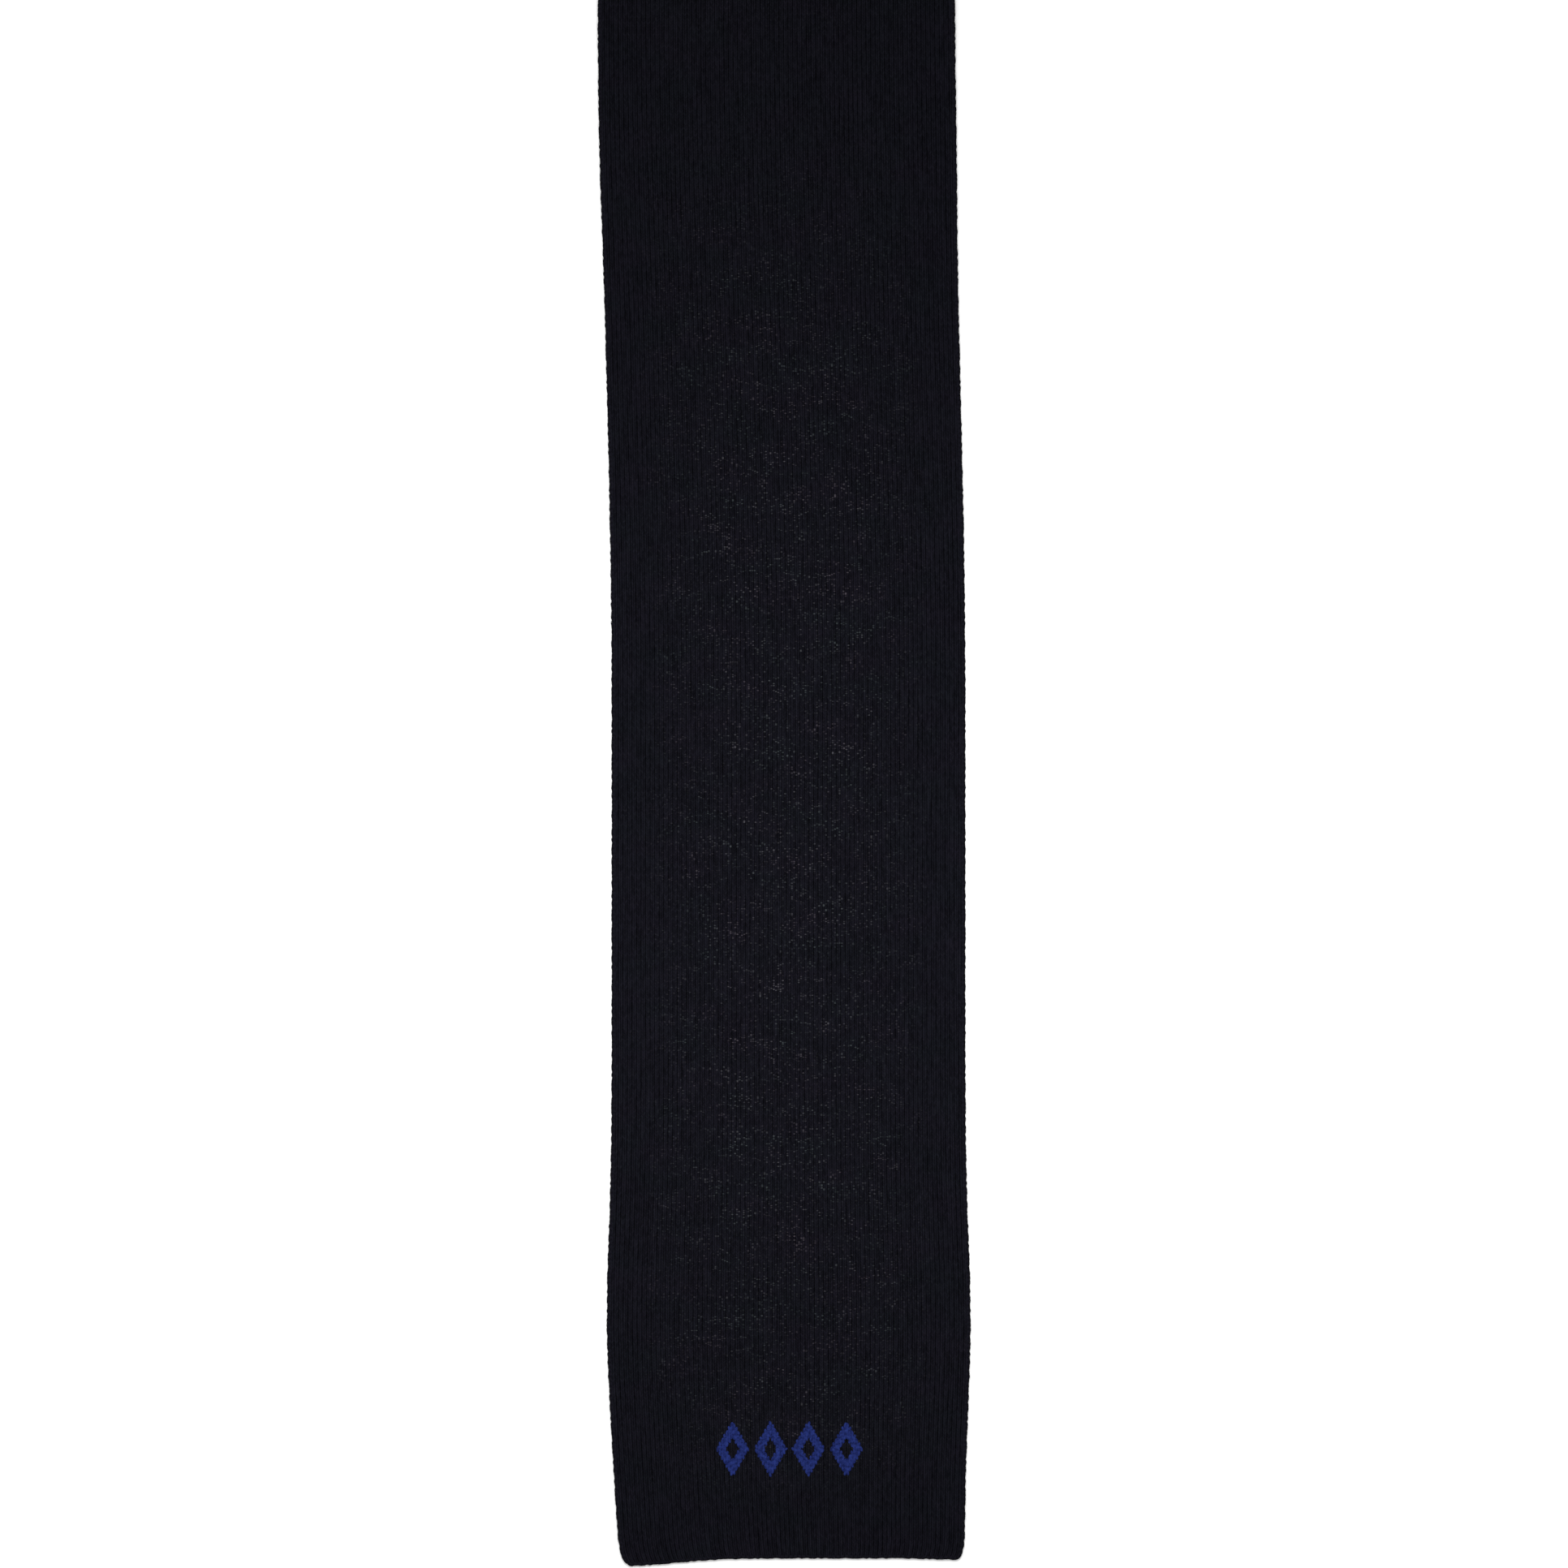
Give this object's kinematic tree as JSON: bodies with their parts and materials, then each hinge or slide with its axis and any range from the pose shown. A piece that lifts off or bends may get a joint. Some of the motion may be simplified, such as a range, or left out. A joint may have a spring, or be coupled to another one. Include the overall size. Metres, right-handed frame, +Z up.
{
  "type": "knitted scarf",
  "caption": "Slim double-layer knitted scarf laid out flat, square linked ends, a row of knitted-in lozenges near one end, folds in half.",
  "frame": {"origin": "on the surface the scarf lies on, under the middle of its length and width", "axes": "+Y runs along the scarf from the end with the motif, +Z is up out of its face"},
  "size_m": [0.1914, 1.508, 0.0041],
  "materials": {
    "navy_knit": "matte knitted jersey",
    "linking_yarn": "matte chained yarn",
    "blue_yarn": "matte yarn",
    "label_satin": "satin woven tape",
    "label_thread": "sewing thread"
  },
  "bodies": {
    "near_half": {"face_layer_near": "navy_knit", "back_layer_near": "navy_knit", "left_seam_near": "linking_yarn", "right_seam_near": "linking_yarn", "lower_end_seam": "linking_yarn", "motif_1": "blue_yarn", "motif_2": "blue_yarn", "motif_3": "blue_yarn", "motif_4": "blue_yarn", "motif_floats": "blue_yarn"},
    "far_half": {"face_layer_far": "navy_knit", "back_layer_far": "navy_knit", "left_seam_far": "linking_yarn", "right_seam_far": "linking_yarn", "upper_end_seam": "linking_yarn", "label_stitches": "label_thread"},
    "care_label": {"care_label": "label_satin"}
  },
  "joints": [
    {"name": "half_fold", "type": "hinge", "parent": "near_half", "child": "far_half", "pos_m": [0, 0, 0.0057], "axis": [1, 0, 0], "range_deg": [0, 180]},
    {"name": "care_label_flap", "type": "hinge", "parent": "far_half", "child": "care_label", "pos_m": [0.08742, 0.495, 0.00025], "axis": [0, -1, 0], "range_deg": [0, 180]}
  ]
}
